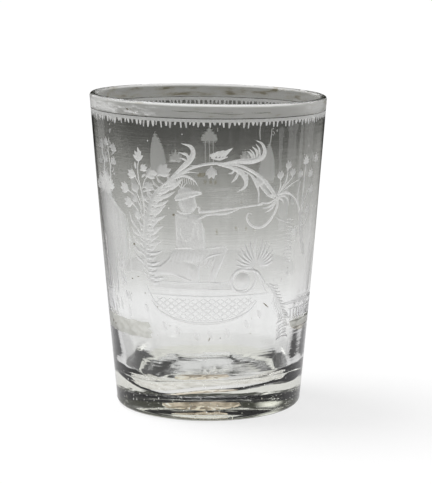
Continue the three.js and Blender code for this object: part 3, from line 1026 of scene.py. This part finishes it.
# The mesh is made. A ground patch is shaded by its own relief, and the polished wall round it by
# the even form that it would have without the cuts.
finishes = [*strength, "rim", "stained_rim", "under", "scar", "scar_back", "foot"]
ground = strength[strength.index("faint"):]
mesh = bpy.data.meshes.new("engraved_beaker")
mesh.from_pydata([tuple(v) for v in vertices], [], faces)
mesh.polygons.foreach_set("material_index", [finishes.index(s) for s in slots])
mesh.polygons.foreach_set("use_smooth", [True] * len(faces))
larger = 1e9
ground_normal = [Vector() for _ in vertices]
for polygon, slot in zip(mesh.polygons, slots):
    if slot in ground:
        for vertex in polygon.vertices:
            ground_normal[vertex] += polygon.normal * polygon.area * larger
split = []
for polygon, slot in zip(mesh.polygons, slots):
    for vertex in polygon.vertices:
        if slot in ground:
            split.append(tuple(ground_normal[vertex].normalized()))
        elif vertex < len(wall_normal):
            split.append(tuple(wall_normal[vertex]))
        else:
            split.append((0, 0, 0))
mesh.normals_split_custom_set(split)
beaker = bpy.data.objects.new("engraved_beaker", mesh)
bpy.context.scene.collection.objects.link(beaker)

# The finishes of the glass, one material each: clear as the fire left it, matt as the wheel and
# the grit left it, and rubbed, stained or dusty as hands and years have left it.
glass_index = 1.5


def add_node(tree, kind, sockets=(), **settings):
    """A shader node with its settings, and each socket set to a value or fed by another's output"""
    node = tree.nodes.new("ShaderNode" + kind)
    for name, value in settings.items():
        setattr(node, name, value)
    for socket, value in dict(sockets).items():
        if isinstance(value, bpy.types.NodeSocket):
            tree.links.new(value, node.inputs[socket])
        else:
            node.inputs[socket].default_value = value
    return node


def add_ramp(tree, share, stops):
    """A ramp fed by a share; each stop is a place from 0 to 1 and a colour, or one number for grey"""
    ramp = add_node(tree, "ValToRGB", {"Fac": share})
    elements = ramp.color_ramp.elements
    while len(elements) < len(stops):
        elements.new(0.5)
    for element, (place, colour) in zip(elements, stops):
        element.position = place
        element.color = (*colour, 1) if isinstance(colour, tuple) else (colour, colour, colour, 1)
    return ramp.outputs[0]


def add_noise(tree, scale, detail):
    """Noise over the object, stretched by the three scales"""
    place = add_node(tree, "TexCoord").outputs["Object"]
    stretched = add_node(tree, "Mapping", {"Vector": place, "Scale": scale}).outputs[0]
    return add_node(tree, "TexNoise", {"Vector": stretched, "Scale": 1, "Detail": detail}).outputs[0]


looks = {}


def glass(finish, name, colour, roughness, transmission, grain, stops, socket="Base Color", detail=3.0):
    """A finish of the glass, mottled by a noise on one of its sockets. It lets lamp light and soft
    light through to what stands behind it."""
    material = bpy.data.materials.new(name)
    material.use_nodes = True
    tree = material.node_tree
    shader = tree.nodes["Principled BSDF"]
    shader.inputs["Base Color"].default_value = (*colour, 1)
    shader.inputs["Roughness"].default_value = roughness
    shader.inputs["IOR"].default_value = glass_index
    shader.inputs["Transmission Weight"].default_value = transmission
    path = add_node(tree, "LightPath")
    last = shader.outputs[0]
    for kind, share in (("Is Diffuse Ray", 0.97), ("Is Shadow Ray", 0.7)):
        through = add_node(tree, "BsdfTransparent", {"Color": (share, share, share, 1)}).outputs[0]
        last = add_node(tree, "MixShader", {0: path.outputs[kind], 1: last, 2: through}).outputs[0]
    tree.links.new(last, tree.nodes["Material Output"].inputs[0])
    tree.links.new(add_ramp(tree, add_noise(tree, grain, detail), stops), shader.inputs[socket])
    looks[finish] = material
    return material


def relief(material, grain, strength, distance):
    """A fine unevenness of the surface, from noise stretched by the three scales"""
    tree = material.node_tree
    bump = add_node(tree, "Bump", {"Height": add_noise(tree, grain, 2), "Strength": strength,
                                   "Distance": distance})
    tree.links.new(bump.outputs[0], tree.nodes["Principled BSDF"].inputs["Normal"])


# Clear glass: faint threads run up the wall, and fine rings run round it from its turning. The
# thick base is a little greener than the wall.
clear_colour = (0.985, 0.99, 0.98)
base_colour = (0.91, 0.92, 0.8)
base_turns = (6.5 * MM, 8.5 * MM)
blown = glass("clear", "blown_glass", clear_colour, 0.0, 1.0, (220, 220, 14), [(0.36, 0.955), (0.6, 1.0)],
              detail=2.0)
relief(blown, (60, 60, 1500), 0.16, 0.1 * MM)
tree = blown.node_tree
place = add_node(tree, "TexCoord").outputs["Object"]
level = add_node(tree, "SeparateXYZ", {0: place}).outputs["Z"]
share = add_node(tree, "MapRange", {"Value": level, "From Min": base_turns[0],
                                    "From Max": base_turns[1]}).outputs[0]
tint = add_ramp(tree, share, [(0.0, base_colour), (1.0, clear_colour)])
coloured = tree.nodes["Principled BSDF"].inputs["Base Color"]
threads = coloured.links[0].from_socket
tinted = add_node(tree, "MixRGB", {0: 1, 1: tint, 2: threads}, blend_type="MULTIPLY")
tree.links.new(tinted.outputs[0], coloured)

# Marks on the clear glass: a thin film of haze, bubbles and nicks full of dust, and brown stains.
glass("haze", "worn_haze", (0.95, 0.95, 0.94), 0.12, 0.93, (300, 300, 30), [(0.35, 0.04), (0.7, 0.22)],
      "Roughness")
glass("nick", "dusty_nick", (0.96, 0.96, 0.94), 0.6, 0.1, (700, 700, 700),
      [(0.3, (0.8, 0.8, 0.76)), (0.7, (1.0, 1.0, 0.98))])
glass("stain", "brown_stain", (0.5, 0.46, 0.32), 0.12, 0.9, (700, 700, 700),
      [(0.34, (0.36, 0.31, 0.19)), (0.66, (0.72, 0.69, 0.58))])

# Ground glass, from a fine wheel's faint matt to a coarse wheel's white, the same cuts rubbed
# nearly clear again, and the small dark stones.
grit = (2200, 2200, 2200)
glass("faint", "ground_faint", (0.92, 0.92, 0.91), 0.34, 0.82, grit,
      [(0.35, (0.88, 0.88, 0.87)), (0.65, (0.97, 0.97, 0.96))])
# This finish is ground glass made greyer and greener than the rest: painted shade.
glass("dull_painted_shade", "ground_painted_shade", (0.72, 0.72, 0.66), 0.4, 0.62, (300, 300, 500),
      [(0.35, (0.6, 0.6, 0.54)), (0.65, (0.84, 0.84, 0.79))])
soft = glass("soft", "ground_soft", (0.92, 0.92, 0.91), 0.42, 0.68, grit,
             [(0.35, (0.8, 0.8, 0.79)), (0.65, (0.98, 0.98, 0.97))])
relief(soft, grit, 0.5, 0.1 * MM)
bright = glass("bright", "ground_bright", (0.95, 0.95, 0.94), 0.5, 0.5, grit,
               [(0.35, (0.78, 0.78, 0.76)), (0.62, (1.0, 1.0, 0.99))])
relief(bright, grit, 0.5, 0.12 * MM)
glass("polished", "polished_cut", (0.99, 0.99, 0.99), 0.4, 0.82, grit, [(0.3, 0.34), (0.7, 0.46)],
      "Roughness")
glass("speck", "dark_speck", (0.2, 0.18, 0.13), 0.5, 0.5, grit,
      [(0.3, (0.1, 0.09, 0.06)), (0.7, (0.3, 0.26, 0.18))])

# The rim over the border, scratched round and round by wear, with brown dirt in it at the back.
rim_grain = (160, 160, 700)
rim_scratches = (120, 120, 4000)
rim = glass("rim", "worn_rim", (0.93, 0.93, 0.9), 0.3, 0.8, rim_grain,
            [(0.3, (0.66, 0.63, 0.54)), (0.37, (0.9, 0.9, 0.87)), (0.7, (1.0, 1.0, 0.98))], detail=5.0)
stained_rim = glass("stained_rim", "stained_rim", (0.9, 0.89, 0.84), 0.3, 0.8, rim_grain,
                    [(0.34, (0.36, 0.31, 0.2)), (0.44, (0.8, 0.78, 0.7)), (0.56, (0.93, 0.93, 0.9)),
                     (0.7, (1.0, 1.0, 0.97))], detail=5.0)
for material in (rim, stained_rim):
    relief(material, rim_scratches, 0.25, 0.05 * MM)

# The underside: the hollow rubbed a little, the scar with its crust of brown dirt, darker at its
# back half, and the ring that has slid over tables.
glass("under", "worn_foot", (0.97, 0.97, 0.93), 0.08, 1.0, (500, 500, 500), [(0.35, 0.03), (0.7, 0.15)],
      "Roughness")
scar_looks = (
    ("scar", "pontil_scar", (0.8, 0.68, 0.5), (0.98, 0.93, 0.8), (1.0, 0.99, 0.92)),
    ("scar_back", "pontil_scar_back", (0.16, 0.12, 0.08), (0.42, 0.34, 0.24), (0.85, 0.74, 0.6)),
)
for finish, name, dark, middle, pale in scar_looks:
    scar = glass(finish, name, middle, 0.6, 0.04, (220, 220, 220),
                 [(0.34, dark), (0.5, middle), (0.64, pale)], detail=4.0)
    relief(scar, (900, 900, 900), 0.5, 0.3 * MM)
glass("foot", "rubbed_foot", (0.9, 0.89, 0.83), 0.5, 0.35, (300, 300, 300),
      [(0.3, (0.62, 0.6, 0.52)), (0.55, (0.88, 0.87, 0.8)), (0.7, (0.96, 0.95, 0.9))], detail=4.0)

for finish in finishes:
    mesh.materials.append(looks[finish])
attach(beaker, "root")
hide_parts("beaker")

# The sweep: a plain white paper floor. To the camera it is white, and it takes the beaker's soft
# shadow. The glass sees the same paper pale near the foot and darker with distance, which gives
# the wall its slow fade from top to base.
sweep_half = 12.0
floor_mesh = bpy.data.meshes.new("floor")
floor_mesh.from_pydata([(-sweep_half, -sweep_half, 0), (sweep_half, -sweep_half, 0),
                        (sweep_half, sweep_half, 0), (-sweep_half, sweep_half, 0)], [], [(0, 1, 2, 3)])
floor = bpy.data.objects.new("floor", floor_mesh)
floor.location.z = -0.02 * MM
bpy.context.scene.collection.objects.link(floor)
# How pale the glass sees the paper at a distance from the beaker, in metres
paper_tones = ((0.0, 0.8), (0.05, 0.76), (0.08, 0.82), (0.105, 0.9), (0.157, 0.89), (0.21, 0.775),
               (0.24, 0.69), (0.31, 0.66), (0.35, 0.545), (0.39, 0.468), (0.435, 0.44), (0.485, 0.365),
               (0.54, 0.31), (0.6, 0.24), (0.66, 0.177), (0.74, 0.065), (0.82, 0.056), (0.9, 0.044),
               (0.985, 0.026), (1.1, 0.07), (1.3, 0.22), (1.9, 0.2))
ramp_reach = 2.0


def seen_by_glass(tree, path):
    """1 for what is seen through the glass or in it, and 0 for the camera and for lighting"""
    rays = {0: path.outputs["Is Glossy Ray"], 1: path.outputs["Is Transmission Ray"]}
    return add_node(tree, "Math", rays, operation="MAXIMUM").outputs[0]


paper = bpy.data.materials.new("paper")
paper.use_nodes = True
tree = paper.node_tree
tree.nodes.remove(tree.nodes["Principled BSDF"])
position = add_node(tree, "NewGeometry").outputs["Position"]
distance = add_node(tree, "VectorMath", {0: position}, operation="LENGTH").outputs["Value"]
share = add_node(tree, "Math", {0: distance, 1: 1 / ramp_reach}, operation="MULTIPLY").outputs[0]
fade = add_ramp(tree, share, [(metres / ramp_reach, (grey, 0.995 * grey, (0.92 + 0.1 * grey) * grey))
                              for metres, grey in paper_tones])
matt = add_node(tree, "BsdfDiffuse", {"Color": (0.88, 0.88, 0.88, 1)}).outputs[0]
lift = add_node(tree, "Emission", {"Strength": 0.07}).outputs[0]
white = add_node(tree, "AddShader", {0: matt, 1: lift}).outputs[0]
graded = add_node(tree, "Emission", {"Color": fade}).outputs[0]
through_glass = seen_by_glass(tree, add_node(tree, "LightPath"))
mixed = add_node(tree, "MixShader", {0: through_glass, 1: white, 2: graded}).outputs[0]
tree.links.new(mixed, tree.nodes["Material Output"].inputs[0])
floor_mesh.materials.append(paper)
paper.cycles.emission_sampling = "NONE"

# The studio round it: white behind for the camera, soft even light for matt surfaces, and for
# the glass a dark room that turns pale overhead, with three small soft lights in it.
room_dark = (0.034, 0.036, 0.024)
room_tones = [(0.0, (0.04, 0.04, 0.03)), (0.05, room_dark), (0.45, room_dark), (0.62, 0.3), (0.8, 0.8),
              (1.0, 0.9)]
# Each light's angle to the right of straight behind, its lift, its radius in degrees, its strength
room_lights = ((-30, 15, 5, 1.6), (-92, 22, 4, 8.0), (122, 25, 4, 6.0))
light_edge = 0.02
world = bpy.data.worlds.new("studio")
bpy.context.scene.world = world
world.use_nodes = True
tree = world.node_tree
tree.nodes.clear()
path = add_node(tree, "LightPath")
direction = add_node(tree, "TexCoord").outputs["Generated"]
upward = add_node(tree, "SeparateXYZ", {0: direction}).outputs["Z"]
seen_room = add_ramp(tree, upward, room_tones)
for turn, lift, size, brightness in room_lights:
    side = math.radians(turn)
    up = math.radians(lift)
    edge = math.cos(math.radians(size))
    aim = (math.sin(side) * math.cos(up), math.cos(side) * math.cos(up), math.sin(up))
    towards = add_node(tree, "VectorMath", {0: direction, 1: aim}, operation="DOT_PRODUCT").outputs["Value"]
    spot = {"Value": towards, "From Min": edge - light_edge, "From Max": edge + light_edge,
            "To Max": brightness}
    glow = add_node(tree, "MapRange", spot, interpolation_type="SMOOTHSTEP").outputs[0]
    seen_room = add_node(tree, "MixRGB", {0: 1, 1: seen_room, 2: glow}, blend_type="ADD").outputs[0]
soft_light = add_node(tree, "Background", {"Color": (1, 1, 1, 1), "Strength": 0.75}).outputs[0]
seen = add_node(tree, "Background", {"Color": seen_room}).outputs[0]
backdrop = add_node(tree, "Background", {"Color": (1, 1, 1, 1)}).outputs[0]
mixed = add_node(tree, "MixShader", {0: seen_by_glass(tree, path), 1: soft_light, 2: seen}).outputs[0]
front = add_node(tree, "MixShader", {0: path.outputs["Is Camera Ray"], 1: mixed, 2: backdrop}).outputs[0]
add_node(tree, "OutputWorld", {0: front})
world.cycles.sampling_method = "NONE"

# The key light, from the left and a little behind, as wide as a window, so that the shadow falls
# soft to the right. The glass doesn't mirror it.
sun_light = bpy.data.lights.new("key", "SUN")
sun_light.energy = 1.2
sun_light.angle = math.radians(34)
sun_from = Vector((-0.48, 0.2, 1.0))
key = bpy.data.objects.new("key", sun_light)
key.location = sun_from
key.rotation_mode = "QUATERNION"
key.rotation_quaternion = (-sun_from).to_track_quat("-Z", "Y")
key.visible_glossy = False
key.visible_transmission = False
bpy.context.scene.collection.objects.link(key)

# The camera, with a long lens from the front and a little above. Few reflections inside the
# glass are followed, since the thick old glass swallows the long paths.
camera_pitch = 9.75
camera_data = bpy.data.cameras.new("camera")
camera_data.lens = 138.9
camera_data.shift_x = 0.0157
camera_data.shift_y = 0.0128
camera = bpy.data.objects.new("camera", camera_data)
camera.location = (0, -0.676, 0.173)
camera.rotation_euler = (math.radians(90 - camera_pitch), 0, 0)
bpy.context.scene.collection.objects.link(camera)
scene = bpy.context.scene
scene.camera = camera
scene.view_settings.view_transform = "Standard"
scene.cycles.max_bounces = 24
scene.cycles.transmission_bounces = 24
scene.cycles.glossy_bounces = 2
scene.cycles.transparent_max_bounces = 24
